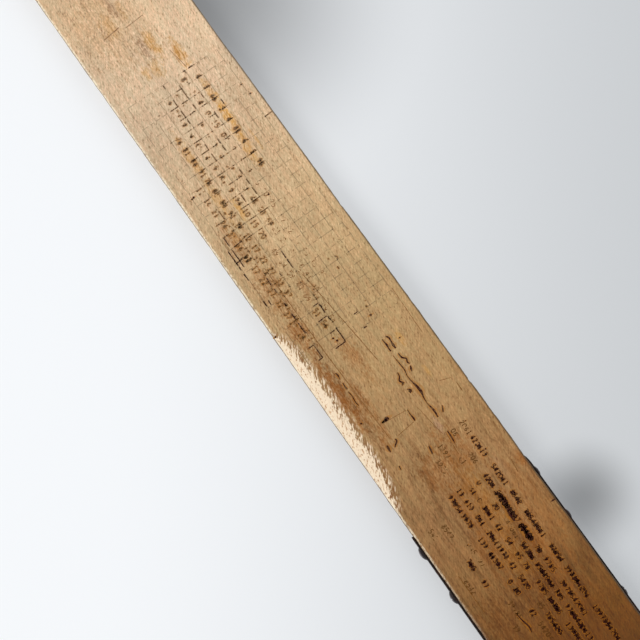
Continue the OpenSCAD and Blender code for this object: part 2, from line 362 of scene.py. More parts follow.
class Wood:                                        # the wires that every finish on a leg shares
    def __init__(self, finish, leg):
        self.finish = finish
        self.leg = leg
        place = finish.add("ShaderNodeTexCoord", None, None, "Object")
        split = finish.add("ShaderNodeSeparateXYZ", None, {0: place})
        self.x = split * (1 / mm)
        self.y = split.out("Y") * (1 / mm)
        self.z = split.out("Z") * (1 / mm)
        lean = math.radians(woodLook["fleckSlant"])
        self.along = self.x * math.cos(lean) + self.y * math.sin(lean)
        self.across = self.y * math.cos(lean) - self.x * math.sin(lean)
        seed = leg["seed"]
        self.broad = finish.cloud(finish.point(self.x * 0.055 + seed, self.y * 0.13, self.z * 0.13), 1, 3)
        self.edge = finish.cloud(finish.point(self.x * 0.5 + seed, self.y * 0.8, self.z * 0.8), 1, 3, 0.6)
        self.fleck = finish.cloud(finish.point(self.along * 0.62, self.across * 2.9 + seed, self.z * 2.6),
                                  1, 2, 0.55)
        self.fibre = finish.cloud(finish.point(self.x * 0.14, self.y * 2.6 + seed, self.z * 2.6), 1, 3, 0.6)
        self.speck = finish.cloud(finish.point(self.x * 1.3 + seed, self.y * 2.3, self.z * 2.3), 1, 2, 0.5)
        self.streak = finish.cloud(finish.point(self.x * 0.13 + seed, self.y * 0.75, self.z * 0.7), 1, 3, 0.6)
        self.blush = finish.cloud(finish.point(self.x * 0.3, self.y * 0.9 - seed, self.z * 0.9), 1, 3, 0.6)

    def blot(self, stain):                         # one soft ragged spot
        centreX, centreY, radiusX, radiusY, strength = stain
        dx = (self.x - centreX) * (1 / radiusX)
        dy = (self.y - centreY) * (1 / radiusY)
        far = dx * dx + dy * dy + (self.edge - 0.5) * 4.6 + (self.speck - 0.5) * 1.6
        return self.finish.rise(far, 1.7, -0.4, strength)

    def blots(self, stains):                       # several, one over the other
        mask = self.blot(stains[0])
        for stain in stains[1:]:
            mask = self.finish.larger(mask, self.blot(stain))
        return mask

    def tone(self, stains=True):                   # the stained and weathered wood, before the printing
        finish, leg = self.finish, self.leg
        share = self.x * (leg["side"] / 305)
        stops = [(min(far / 305, 1), deep(colour)) for far, colour in leg["tones"]]
        base = finish.add("ShaderNodeValToRGB", {"stops": stops}, {0: share + (self.broad - 0.5) * 0.05})
        light = ((self.broad - 0.5) * woodLook["mottleDepth"] * 2
                 + (self.fibre - 0.5) * woodLook["fibreDepth"] * 2
                 + (self.fleck - 0.5) * woodLook["fleckDepth"] * 2
                 + (self.speck - 0.5) * woodLook["speckDepth"] * 2 + woodLook["lift"])
        close = finish.rise(finish.away(self.x), woodLook["streakFrom"], woodLook["streakTo"])
        light = light + (self.streak - 0.5) * close * woodLook["streakDepth"] * 2 + self.y * woodLook["paler"]
        pink, green = [(*tint, 1) for tint in woodLook["blush"]]
        hue = finish.mix(finish.rise(self.blush, 0.4, 0.6), pink, green)
        colour = finish.shade(finish.times(base, hue), light)
        colour = finish.mix(finish.rise(self.streak, 0.5, 0.34, 0.55) * close, colour,
                            finish.times(colour, woodLook["dark"]))
        facing = finish.rise(self.z, thick - 0.4, thick - 0.1)       # stains are in the face only
        for tint, spots in leg["stains"].items() if stains else ():
            threads = finish.rise(self.fibre + (self.speck - 0.5) * 0.6, 0.64, 0.36, 0.45) + 0.55
            share = self.blots(spots) * facing * threads
            stained = finish.shade(deep(woodLook["tints"][tint]), light)
            colour = finish.mix(share, colour, stained)
        grain = self.fleck * 0.5 + self.speck * 0.3 + self.fibre * 0.2
        for tint, low, high, most in woodLook["flecks"]:
            colour = finish.mix(finish.rise(grain, low, high, most), colour,
                                finish.times(colour, woodLook[tint]))
        pits = finish.rise(self.fleck + (self.speck - 0.5) * 0.8, 0.32, 0.2, 0.4)
        return finish.mix(pits, colour, solid(woodLook["pits"]))

    def rubbedMasks(self):                         # the bright, worn-down stretch of the front edge
        finish, leg = self.finish, self.leg
        stops = [(far / 305, (width / 10,) * 3) for far, width in leg["rub"]]
        ramp = finish.add("ShaderNodeValToRGB", {"stops": stops}, {0: self.x * (leg["side"] / 305)})
        width = finish.add("ShaderNodeSeparateColor", None, {0: ramp}) * 10
        rag = (self.fleck - 0.5) * 6.5 + (self.edge - 0.5) * 1.2 + (self.speck - 0.5) * 2.0
        depth = width - half - self.y              # how far inside the worn stretch
        inside = depth + rag * finish.rise(width, 0.0, 2.0, 0.75)
        face = finish.rise(self.z, thick - 2.2, thick - 1.2) * finish.rise(width, 0.1, 0.6)
        brink = finish.rise(finish.away(inside + 0.55), 0.9, 0.15) * face
        fringe = finish.rise(depth + (self.edge - 0.5) * 2.0, -2.1, -0.7) * face
        return finish.rise(inside, -0.2, 0.6) * face, brink, fringe


def woodFinish(leg):
    finish = Finish(leg["name"] + " old rubbed hardwood")
    wood = Wood(finish, leg)
    colour = wood.tone()
    rubbed, brink, fringe = wood.rubbedMasks()
    # the worn stretch: pale bare wood, partly a painted highlight of the glint on its slope
    wornGlint = finish.mix(finish.rise(wood.fleck + (wood.speck - 0.5) * 0.9, 0.47, 0.27, 0.85),
                        solid(woodLook["rubbed"]), solid(woodLook["bruised"]))
    wornGlint = finish.mix(finish.rise(wood.speck + (wood.edge - 0.5) * 0.4, 0.33, 0.25, 0.8), wornGlint,
                        solid(woodLook["brink"]))
    raised = finish.rise(wood.fleck, 0.5, 0.6, 0.75) * fringe
    sunken = finish.rise(wood.fleck + (wood.fibre - 0.5) * 0.4, 0.48, 0.36, 0.7) * fringe
    colour = finish.mix(finish.larger(brink * 0.3, sunken), colour, solid(woodLook["brink"]))
    # raised fibres in the fringe take the same pale colour, partly a painted highlight
    colour = finish.mix(raised, colour, solid(woodLook["rubbed"]))
    colour = finish.mix(rubbed * 0.92, colour, wornGlint)
    # a painted highlight along the front edge's rounding, and painted shade along the back edge and the sides
    front = wood.y * -1
    lit = (finish.rise(front, half - 0.75, half - 0.35)
           * finish.rise(wood.z, thick - 1.3, thick - 0.7, leg["litEdge"])
           * finish.rise(finish.away(wood.x), 25, 90))
    colour = finish.mix(lit * finish.rise(wood.speck, 0.3, 0.6), colour, solid(woodLook["litEdge"]))
    # painted shade: the back edge's rounding and the lower front side are darkened
    side = finish.larger(finish.rise(wood.y, half - 0.85, half - 0.35),
                         finish.rise(front, half - 0.3, half) * finish.rise(wood.z, thick, thick - 1.4))
    paintedEdgeShade = side * (0.74 + (wood.fibre - 0.5) * 0.7) * (1 - rubbed)
    colour = finish.mix(paintedEdgeShade, colour, solid(woodLook["edgeShadeColour"]))
    rough = woodLook["roughness"] + (wood.edge - 0.5) * 0.22 + (wood.fibre - 0.5) * 0.2 - rubbed * 0.14
    height = (wood.fleck * 0.5 + wood.fibre * 0.7 + wood.speck * 0.35
              - finish.rise(wood.fleck, 0.34, 0.2) * 0.5)
    return finish.surface({"Base Color": colour, "Roughness": rough,
                           "Normal": finish.bump(height, 0.09, 0.55),
                           "Specular IOR Level": woodLook["shine"]})


# Wood shape: rings of points along a leg, worn at the edges.

legShape = {
    "gap": 0.6,                                    # between rings along the leg
    "easing": 0.6, "easingWear": 0.7,              # edge radius, and how much more is rubbed off
    "dent": 0.13,
    "endEasing": 0.3,
    "nicks": [(217, -1, 0.3, 0.5), (204.5, -1, 0.35, 0.4), (140, -1, 0.45, 0.6), (160, 1, 0.2, 0.7),
              (98, 1, 0.25, 0.5), (258, 1, 0.35, 0.8), (271, -1, 0.4, 0.9), (88, -1, 0.25, 0.4)],
    "facePoints": 30, "sidePoints": 5, "arcPoints": 4,
}


def blend(stops, at):                              # smooth value between hand-set stops
    if at <= stops[0][0] or at >= stops[-1][0]:
        return 0.0
    for (low, first), (high, second) in zip(stops, stops[1:]):
        if at <= high:
            share = (at - low) / (high - low)
            return first + (second - first) * share * share * (3 - 2 * share)
    return 0.0


def wear(at, row, seed, scale):                    # 0 to 1, the same on every run
    return min(1.0, max(0.0, 0.5 + 0.8 * noise.noise(Vector((at * scale, row * 9.1, seed)))))


def legRing(leg, far, low, high, square, inset):
    seed = leg["seed"]
    corners = [(-1, high), (1, high), (1, low), (-1, low)]          # front top, then round
    radii = [square or legShape["easing"] + legShape["easingWear"] * wear(far, i, seed, 0.07) ** 2
             for i in range(4)]
    ring = []
    count = {"face": legShape["facePoints"], "side": legShape["sidePoints"]}
    for i, (side, level) in enumerate(corners):
        radius = radii[i]
        centre = (side * (half - radius), level - radius if level == high else level + radius)
        start = (180, 90, 0, 270)[i]
        for step in range(legShape["arcPoints"] + 1):
            turn = math.radians(start - 90 * step / legShape["arcPoints"])
            ring.append((centre[0] + radius * math.cos(turn), centre[1] + radius * math.sin(turn)))
        nextSide, nextLevel = corners[(i + 1) % 4]
        nextRadius = radii[(i + 1) % 4]
        if i % 2 == 0:                             # along the face or the back
            first = side * (half - radius)
            last = nextSide * (half - nextRadius)
            for step in range(1, count["face"]):
                share = (step / count["face"]) ** (1.3 if i == 0 else 1 / 1.3)
                ring.append((first + (last - first) * share, level))
        else:
            first = level - radius if level == high else level + radius
            last = nextLevel + nextRadius if nextLevel == low else nextLevel - nextRadius
            for step in range(1, count["side"]):
                ring.append((side * half, first + (last - first) * step / count["side"]))
    return [worn(leg, far, y, z, low, high, inset, square) for y, z in ring]


def worn(leg, far, y, z, low, high, inset, square):
    middle = (low + high) / 2
    if not square:
        width = blend(leg["rub"], far)
        if width > 0 and z > middle:
            ragged = width + 0.5 * noise.noise(Vector((far * 0.6, 3.0, leg["seed"])))
            into = min(1.0, max(0.0, (ragged - half - y) / max(ragged, 0.1)))
            fall = leg["rubDepth"] * ragged / 4 * into ** 1.6
            z -= fall * (z - middle) / (high - middle)
        edge = max(0.0, (abs(y) - half + 1.4) / 1.4)
        level = 1 if z > middle else 2
        dent = legShape["dent"] * (wear(far, level + y, leg["seed"], 0.23)
                                   + 0.6 * wear(far, level - y, leg["seed"], 0.9))
        for at, side, depth, size in legShape["nicks"]:
            if z > middle and side * y > 0:
                dent += depth * math.exp(-((far - at) / size) ** 2)
        y -= math.copysign(dent * edge, y)
        z -= 0.02 * wear(far, y * 0.1, leg["seed"], 0.1) * (1 if z > middle else -1)
    shrink = 1 - inset / half
    return y * shrink, middle + (z - middle) * (1 - 2 * inset / (high - low))


def buildObject(name, points, faces, finish, bodyName):
    data = bpy.data.meshes.new(name)
    data.from_pydata([Vector(p) * mm for p in points], [], faces)
    shape = bmesh.new()
    shape.from_mesh(data)
    bmesh.ops.recalc_face_normals(shape, faces=shape.faces)
    shape.to_mesh(data)
    shape.free()
    data.materials.append(finish)
    made = bpy.data.objects.new(name, data)
    bpy.context.scene.collection.objects.link(made)
    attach(made, bodyName)
    return made


def buildLeg(leg):
    easing = legShape["endEasing"]
    count = round((tipStart - buttGap - easing) / legShape["gap"])
    plan = [(buttGap, 0, thick, 0, easing), (buttGap + easing * 0.3, 0, thick, 0, easing * 0.3)]
    plan += [(buttGap + easing + (tipStart - buttGap - easing) * i / count, 0, thick, 0, 0)
             for i in range(count + 1)]
    skin = 0.81                                    # depth let in for the tip's metal
    plan += [(far, skin, thick - skin, 0.05, 0) for far in (tipStart + 0.01, reach - skin)]
    points, faces = [], []
    for far, low, high, square, inset in plan:
        ring = legRing(leg, far, low, high, square, inset)
        points += [(leg["side"] * far, y, z) for y, z in ring]
    size = len(ring)
    for row in range(len(plan) - 1):
        for i in range(size):
            j = (i + 1) % size
            faces.append((row * size + i, row * size + j, (row + 1) * size + j, (row + 1) * size + i))
    faces.append(tuple(range(size)))
    faces.append(tuple(range(len(points) - size, len(points))))
    made = buildObject(leg["name"], points, faces, woodFinish(leg), leg["body"])
    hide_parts(leg["node"])
    return made


def boreFor(piece, node):                          # a round hole in the wood that the node fills
    low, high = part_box(node)
    depth = high.z - low.z
    bpy.ops.mesh.primitive_cylinder_add(vertices=48, radius=(high.x - low.x) / 2, depth=depth * 2,
                                        location=((low.x + high.x) / 2, (low.y + high.y) / 2, high.z))
    cutter = bpy.context.object
    cut = piece.modifiers.new("bore", "BOOLEAN")
    cut.operation = "DIFFERENCE"
    cut.solver = "EXACT"
    cut.object = cutter
    bpy.context.view_layer.update()
    shaped = bpy.data.meshes.new_from_object(piece.evaluated_get(bpy.context.evaluated_depsgraph_get()))
    piece.modifiers.clear()
    piece.data = shaped
    bpy.data.objects.remove(cutter)


def smoothFaces(piece, angle=35):
    piece.data.shade_smooth()
    piece.data.set_sharp_from_angle(angle=math.radians(angle))


woodA = buildLeg(legA)
boreFor(woodA, "register_bush")
woodB = buildLeg(legB)
for piece in (woodA, woodB):
    smoothFaces(piece, 40)
print("wood:", len(woodA.data.polygons), len(woodB.data.polygons), "faces")


# Printing: thin strips of ink let into the wood.

digits = {                                         # strokes in a box 1 wide and 1 high
    "0": [[(.5, 1), (.1, .75), (.1, .25), (.5, 0), (.9, .25), (.9, .75), (.5, 1)]],
    "1": [[(.2, .8), (.5, 1), (.5, 0)], [(.2, 0), (.8, 0)]],
    "2": [[(.1, .8), (.5, 1), (.9, .75), (.1, 0), (.9, 0)]],
    "3": [[(.1, .9), (.5, 1), (.85, .75), (.45, .55), (.9, .28), (.5, 0), (.1, .12)]],
    "4": [[(.7, 0), (.7, 1), (.1, .3), (.95, .3)]],
    "5": [[(.85, 1), (.2, 1), (.15, .55), (.6, .6), (.9, .3), (.5, 0), (.1, .1)]],
    "6": [[(.8, .95), (.35, .7), (.1, .3), (.5, 0), (.9, .28), (.5, .52), (.15, .35)]],
    "7": [[(.1, 1), (.9, 1), (.4, 0)]],
    "8": [[(.5, .53), (.15, .77), (.5, 1), (.85, .77), (.5, .53), (.1, .25), (.5, 0), (.9, .25), (.5, .53)]],
    "9": [[(.85, .65), (.5, .48), (.1, .72), (.5, 1), (.88, .7), (.65, .3), (.2, .05)]],
}

inkLook = {
    "proud": 0.015, "sunk": 0.06,                  # how the ink lies in the wood's surface
    "step": 0.32,                                  # length of the shortest worn-off bit
    "line": 0.24, "figure": 0.22,                  # widths of the ruled lines and of the figures
    "colours": {"dark": (58, 24, 6), "brown": (92, 60, 24), "rust": (116, 72, 30), "ghost": (112, 94, 74),
                "bleed": (168, 106, 40)},
    "cover": {"dark": (0.66, 1.0), "brown": (0.5, 0.95), "rust": (0.4, 0.85), "ghost": (0.2, 0.55),
              "bleed": (0.0, 0.55)},
    "thin": ("ghost", "bleed"),                    # inks so thin that the stains show through them
    # marks listed one by one were laid out on a slightly fanned sheet
    "shift": (0.55, -0.2), "fan": 0.00077, "fanMiddle": -108,
    "bleedWidth": 3.0, "bleedProud": 0.007,
}


class Sheet:                                       # the strips of one printing on one face of a leg
    def __init__(self, seed, fanned=False):
        self.seed = seed
        self.fanned = fanned
        self.strips = []

    def place(self, x, y):
        if not self.fanned:
            return x, y
        dx, dy = inkLook["shift"]
        return x + dx + inkLook["fan"] * y * (x - inkLook["fanMiddle"]), y + dy

    def strip(self, path):                         # path: (x, y, width) points
        if len(path) > 1:
            self.strips.append([(*self.place(x, y), w) for x, y, w in path])

    def bled(self):                                # the same strips, as wide as the ink has crept
        sheet = Sheet(self.seed)
        sheet.strips = [[(x, y, w * inkLook["bleedWidth"]) for x, y, w in path] for path in self.strips]
        return sheet

    def line(self, x, y, endX, endY, width=None, keep=1.0, uneven=0.45):
        length = math.hypot(endX - x, endY - y)
        count = max(2, round(length / inkLook["step"]))
        path = [(x + (endX - x) * i / count, y + (endY - y) * i / count) for i in range(count + 1)]
        self.worn(path, width or inkLook["line"], keep, uneven)

    def worn(self, path, width, keep, uneven=0.45):        # drops what has rubbed away
        limit = 0.5 + (keep - 0.5) * 1.15
        run = []
        for x, y in path:
            fine = wear(x * 1.7 + y * 0.9, y * 0.23, self.seed, 1.0)
            patch = wear(x * 0.45, y * 0.09, self.seed + 5, 1.0)
            if 0.6 * fine + 0.4 * patch < limit:
                swell = 1 + uneven * (wear(x * 2.3, y * 0.31, self.seed + 9, 1.0) * 2 - 1)
                shift = 0.10 * (fine - 0.5)
                run.append((x + shift, y - shift, width * swell))
            else:
                self.strip(run)
                run = []
        self.strip(run)

    def figure(self, digit, x, y, high, keep=1.0, width=None):
        wide = high * 0.62
        for stroke in digits[digit]:
            path = []
            for (ax, ay), (bx, by) in zip(stroke, stroke[1:]):
                start = Vector((x + ax * wide, y + ay * high))
                end = Vector((x + bx * wide, y + by * high))
                count = max(1, round((end - start).length / inkLook["step"]))
                path += [tuple(start.lerp(end, i / count)) for i in range(count)]
            path.append((x + stroke[-1][0] * wide, y + stroke[-1][1] * high))
            self.worn(path, width or inkLook["figure"], keep)

    def number(self, text, x, y, high, keep=1.0, width=None):      # centred on x
        pitch = high * 0.78
        start = x - pitch * len(text) / 2
        for i, digit in enumerate(text):
            self.figure(digit, start + i * pitch, y, high, keep, width)

    def stroke(self, points):                      # a smooth line through given (x, y, width) points
        path = []
        for i in range(len(points) - 1):
            before, start, end, after = [Vector(points[min(max(k, 0), len(points) - 1)])
                                         for k in (i - 1, i, i + 1, i + 2)]
            count = max(2, round((end - start).length / 0.4))
            for step in range(count):
                t = step / count
                path.append(tuple(0.5 * (2 * start + (end - before) * t
                                         + (2 * before - 5 * start + 4 * end - after) * t * t
                                         + (3 * start - before - 3 * end + after) * t ** 3)))
        path.append(tuple(points[-1]))
        self.strip([(x, y, max(0.08, w * (1 + 0.3 * noise.noise(Vector((x * 1.4, y, self.seed))))))
                    for x, y, w in path])

    def spot(self, x, y, size):                    # a round blot
        self.strip([(x - size * 0.5, y, size * 0.35), (x - size * 0.25, y, size * 0.85),
                    (x, y, size), (x + size * 0.25, y, size * 0.85), (x + size * 0.5, y, size * 0.35)])


def inkFinish(leg, kind):                          # ink that the wood shows through where it's thin
    finish = Finish(leg["name"] + " " + kind + " ink")
    wood = Wood(finish, leg)
    low, high = inkLook["cover"][kind]
    cover = finish.rise(wood.speck + (wood.fleck - 0.5) * 0.6, 0.28, 0.62, high - low) + low
    under = wood.tone(kind in inkLook["thin"])
    colour = finish.mix(cover, under, (*deep(inkLook["colours"][kind]), 1))
    rough = 0.62 + (wood.speck - 0.5) * 0.2
    return finish.surface({"Base Color": colour, "Roughness": rough, "Specular IOR Level": 0.1,
                           "Normal": finish.bump(wood.speck, 0.04, 0.5)})


inkFinishes = {}


def printSheet(name, sheet, leg, kind, back=False):
    if (leg["name"], kind) not in inkFinishes:
        inkFinishes[leg["name"], kind] = inkFinish(leg, kind)
    proud = inkLook["bleedProud"] if kind == "bleed" else inkLook["proud"]
    points, faces = [], []
    for path in sheet.strips:
        first = len(points)
        for i, (x, y, width) in enumerate(path):
            before, after = path[max(i - 1, 0)], path[min(i + 1, len(path) - 1)]
            along = Vector((after[0] - before[0], after[1] - before[1]))
            along = along.normalized() if along.length > 1e-6 else Vector((1, 0))
            thin = 0.55 if i in (0, len(path) - 1) else 1.0
            offX, offY = -along.y * width * thin / 2, along.x * width * thin / 2
            levels = (-proud, inkLook["sunk"]) if back else (thick + proud, thick - inkLook["sunk"])
            flip = -1 if back else 1
            for level in levels:
                points.append((x + offX, flip * (y + offY), level))
                points.append((x - offX, flip * (y - offY), level))
        for i in range(len(path) - 1):
            a = first + 4 * i
            b = a + 4
            faces += [(a, b, b + 1, a + 1), (a + 2, a + 3, b + 3, b + 2),
                      (a, a + 2, b + 2, b), (a + 1, b + 1, b + 3, a + 3)]
        end = first + 4 * (len(path) - 1)
        faces += [(first, first + 1, first + 3, first + 2), (end, end + 2, end + 3, end + 1)]
    return buildObject(name, points, faces, inkFinishes[leg["name"], kind], leg["body"])


table = {                                          # the ruled table of figures on leg A
    "left": -218.85, "pitch": 3.98, "columns": 23,
    "figure": 1.6, "figureWidth": 0.26,
    # two figures to a cell from here on, and better kept
    "crowdedFrom": -178, "crowdedBelow": -8, "crowdedKeep": 0.16,
    "darkFrom": -176,                              # blacker ink from here on
    "bead": 0.72, "beadSize": 0.42, "beadKeep": 0.12,      # the uprights are printed as beads
    "rules": [16.0, 12.5, 8.5, 4.8, 1.0, -2.9, -6.9, -10.7, -15.3],
    # y of a row of figures, first and last x, how much is left, kind of ink
    "rows": [(6.2, -217, -184, 0.80, "brown"), (2.1, -218, -198, 0.62, "brown"),
             (2.1, -197, -172, 0.50, "rust"), (-1.8, -216, -198, 0.52, "brown"),
             (-1.8, -197, -167, 0.56, "brown"), (-1.6, -166, -143, 0.42, "rust"),
             (-5.6, -215, -164, 0.64, "brown"), (-5.6, -161, -143, 0.46, "rust"),
             (-5.9, -140, -134, 0.66, "brown"), (-9.5, -204, -191, 0.60, "brown"),
             (-9.5, -189, -148, 0.62, "brown"), (-12.9, -188, -163, 0.54, "brown"),
             (-13.0, -164, -142, 0.66, "brown"), (-13.2, -141, -134, 0.46, "brown"),
             (6.4, -150, -131, 0.25, "brown"), (1.7, -168, -147, 0.34, "rust"),
             (-3.4, -152, -136, 0.4, "rust"), (-8.0, -170, -140, 0.28, "rust"),
             (-11.4, -178, -134, 0.36, "brown")],
    "upright": [(7.9, 5.5, -219, -184, 0.62), (4.3, 1.5, -219, -183, 0.5), (0.8, -2.4, -215, -171, 0.52),
                (-3.2, -6.3, -212, -166, 0.6), (-7.4, -10.2, -200, -166, 0.5), (-11, -14.8, -176, -164, 0.4)],
    # stretches of rule still strong: y, from, to
    "strong": [(1.0, -215.4, -211.6), (1.0, -216.6, -215.6), (1.0, -209.5, -207.8), (1.0, -196.9, -195.0),
               (1.0, -194.4, -192.4), (1.0, -185.6, -183.9), (1.0, -182.2, -180.2), (1.0, -179.3, -176.6),
               (-2.9, -219.6, -218.2), (-2.9, -214.2, -211.5), (-2.9, -210.2, -207.4),
               (-2.9, -207.0, -205.2), (-2.9, -197.8, -195.6), (-2.9, -194.4, -191.6),
               (-2.9, -179.3, -176.7), (-2.9, -159.0, -156.6), (-2.9, -156.3, -153.2),
               (-2.9, -140.5, -137.4), (-2.9, -136.2, -134.6), (-2.9, -132.2, -127.4),
               (4.8, -219.4, -218.0), (4.8, -210.6, -208.9), (4.8, -203.8, -201.4), (8.6, -205.6, -203.7),
               (-14.1, -172.4, -169.2), (-14.1, -168.2, -161.8), (-15.3, -168.4, -163.0),
               (-15.3, -162.8, -161.6), (-15.3, -160.3, -157.8), (-15.3, -150.8, -148.6),
               (-14.0, -150.0, -148.4), (-10.8, -155.4, -152.8), (-10.8, -151.6, -150.2),
               (-10.8, -146.8, -145.6), (-10.8, -142.9, -140.8), (-10.8, -139.6, -136.0),
               (-10.8, -131.9, -127.4), (-10.8, -179.6, -176.4), (-6.9, -154.4, -153.2)],
    "crossings": [(-127.4, 4.6, 3.4), (-127.4, -2.9, -6.4), (-127.5, -10.8, -12.2), (-131.9, -10.8, -12.6),
                  (-132.2, 4.8, 3.4), (-140.8, -2.9, -4.6), (-136.4, -3, -6), (-164.0, -13.2, -15.6),
                  (-168.3, -10.4, -13.0), (-218.9, 7.7, 6.0), (-202.7, 8.6, 7.0), (-195.0, 8.0, 5.7),
                  (-187.1, 7.6, 5.6), (-193.3, 18.8, 15.9), (-59.6, 18.8, 17.4), (-131.8, -3.6, -5.2)],
}


def printTable():
    sheets = {"brown": Sheet(2.3), "rust": Sheet(7.9), "ghost": Sheet(13.1)}
    rules = {"brown": Sheet(23.9, True), "dark": Sheet(19.7, True)}
    ends = table["left"], table["left"] + table["pitch"] * table["columns"]
    ghost = sheets["ghost"]
    for y in table["rules"]:
        ghost.line(ends[0], y, ends[1], y, 0.24, 0.66)
    for i in range(table["columns"] + 1):
        x = table["left"] + i * table["pitch"]
        ghost.line(x, table["rules"][0], x, table["rules"][-1], 0.22, 0.6)
        for top, low, start, end, keep in table["upright"]:
            if start - 1 < x < end + 1:
                beads = int((top - low) / table["bead"])
                for bead in range(beads):
                    y = top - bead * table["bead"]
                    if wear(x, y, 5.9, 1.3) < keep + table["beadKeep"]:
                        sheets["brown"].spot(x, y, table["beadSize"])
    for y, start, end, keep, kind in table["rows"]:
        count = int((end - start) / table["pitch"]) + 1
        for i in range(count):
            value = (round(-y * 7) + i * 5) % 89 + 10
            x = start + 2 + i * table["pitch"]
            crowded = x > table["crowdedFrom"] or y < table["crowdedBelow"]
            text = str(value if crowded or value % 3 == 0 else value % 10)
            left = keep + table["crowdedKeep"] * crowded
            sheets[kind].number(text, x, y + 0.1, table["figure"], left, table["figureWidth"])
    for y, start, end in table["strong"]:
        rules["dark" if start > table["darkFrom"] else "brown"].line(start, y, end, y, 0.32, 0.93)
    for x, top, low in table["crossings"]:
        rules["dark" if x > table["darkFrom"] else "brown"].line(x, top, x, low, 0.34, 0.9)
    printSheet("table_bleed", sheets["brown"].bled(), legA, "bleed")
    for kind, sheet in rules.items():
        printSheet("rules_" + kind, sheet, legA, kind)
    for kind, sheet in sheets.items():
        printSheet("table_" + kind, sheet, legA, kind)


handMarks = {                                      # ink run into scratches and cracks
    "strokes": [
        [(-116.5, 5.6, .12), (-114, 5.75, .3), (-111.5, 5.9, .35), (-109.4, 5.5, .25), (-107.3, 5.7, .35),
         (-105.6, 6.0, .8), (-103.8, 6.1, .75), (-102, 5.7, .32), (-100, 5.6, .25), (-98.6, 5.85, .5),
         (-97.2, 5.95, .6), (-95.4, 5.75, .35)],
        [(-91, 5.6, .2), (-89.6, 5.6, .45), (-88, 5.45, .35), (-87, 5.3, .2)],
        [(-122, 7.0, .3), (-121.2, 7.6, .55), (-119.8, 7.5, .4), (-118.6, 7.4, .75), (-117.6, 7.5, .3)],
        [(-121.9, 5.8, .3), (-120.8, 5.85, .4), (-119.7, 5.95, .6), (-118.7, 5.8, .35), (-117.7, 5.85, .4)],
        [(-116.2, 7.2, .35), (-114.6, 7.3, .5), (-113.6, 8.2, .45), (-112.6, 7.8, .4), (-111.9, 8.2, .3)],
        [(-111.4, 8.0, .3), (-110.6, 7.6, .6), (-109.8, 7.3, .3)],
        [(-111.9, 3.8, .3), (-110.8, 3.7, .35), (-109.6, 2.9, .5), (-108.6, 3.6, .3), (-108.2, 2.7, .25)],
        [(-106.6, 3.2, .25), (-105.8, 4.1, .55), (-105.2, 3.3, .25)],
        [(-97.5, 8.6, .3), (-96.7, 8.3, .4), (-95.7, 7.7, .4)],
        [(-102, 0, .25), (-100.4, -.05, .3), (-99, .05, .55), (-98.2, -.05, .35)],
        [(-97.4, -7.5, .35), (-96.6, -7.4, .45), (-95.9, -8.4, .4), (-95.4, -8.9, .25)],
        [(-97.2, -10.4, .4), (-96.2, -10.5, .6), (-95, -10.6, .35)],
        [(-121.9, -10.4, .35), (-120.9, -10.2, .45), (-119.6, -10.4, .3)],
        [(-118.5, -10.3, .3), (-117.2, -10.4, .45), (-116.2, -10.3, .4)],
        [(-115.6, -10.5, .35), (-114, -10.3, .3), (-112, -10.5, .35), (-110.6, -10.3, .2)],
        [(-90.5, -1.0, .4), (-89.2, -1.2, .5), (-88, -1.5, .3)],
        [(-90.7, -10.9, .4), (-89.3, -11.1, .3)],
        [(-40.5, -8.2, .2), (-38, -7.9, .4), (-35.6, -7.4, .45), (-34, -7.8, .25)],
        [(-148.8, 8.7, .2), (-148.2, 9.2, .3), (-147.4, 8.9, .2)],
        [(-146, 7.6, .35), (-145, 7.6, .25)],
    ],
    "spots": [(-103.2, -6.2, 1.35), (-103.0, -6.7, 0.9), (-129.3, 7.2, 0.75), (-187.2, -14.4, 0.7),
              (-187.0, -15.1, 0.5), (-205.2, 16.0, 0.5), (-201.4, 16.6, 0.6), (-129.0, -4.7, 0.7),
              (-130.2, -5.3, 0.6), (-213.0, -8.9, 0.4), (-144.7, -1.7, 0.5), (-148.5, -3.5, 0.5),
              (-119.4, 10.1, 0.5), (-106.2, -12.7, 0.6), (-140.2, -18.3, 0.6), (-174.5, 3.7, 0.6),
              (-90.3, 11.4, 0.4), (-81, 11.3, 0.5), (-62.5, -8.2, 0.4)],
    # fine scratches: both ends and a width
    "scratches": [(-240.4, 4.6, -240.6, -2.0, .25), (-242, -3.4, -241.8, -9.2, .3),
                  (-150, -1.7, -118, 1.4, .22), (-158, -9.6, -126, -9.4, .24), (-126, -9.4, -98, -8.6, .24),
                  (-102, -.3, -102.6, -6.0, .16), (-98.2, -.3, -97.6, -6.4, .16),
                  (-100.4, 15.7, -97.4, 15.6, .3), (-102.2, 15.2, -103.4, 12.0, .16),
                  (-101, 2.7, -91, 4.0, .16), (-91, 5.0, -84, 4.4, .2), (-71, 14.9, -75, 15.4, .18),
                  (-226.4, 4.9, -219.6, 6.0, .2), (-45, -15.0, -57, -15.1, .2),
                  (-132, 16.6, -117, 16.2, .14)],
}

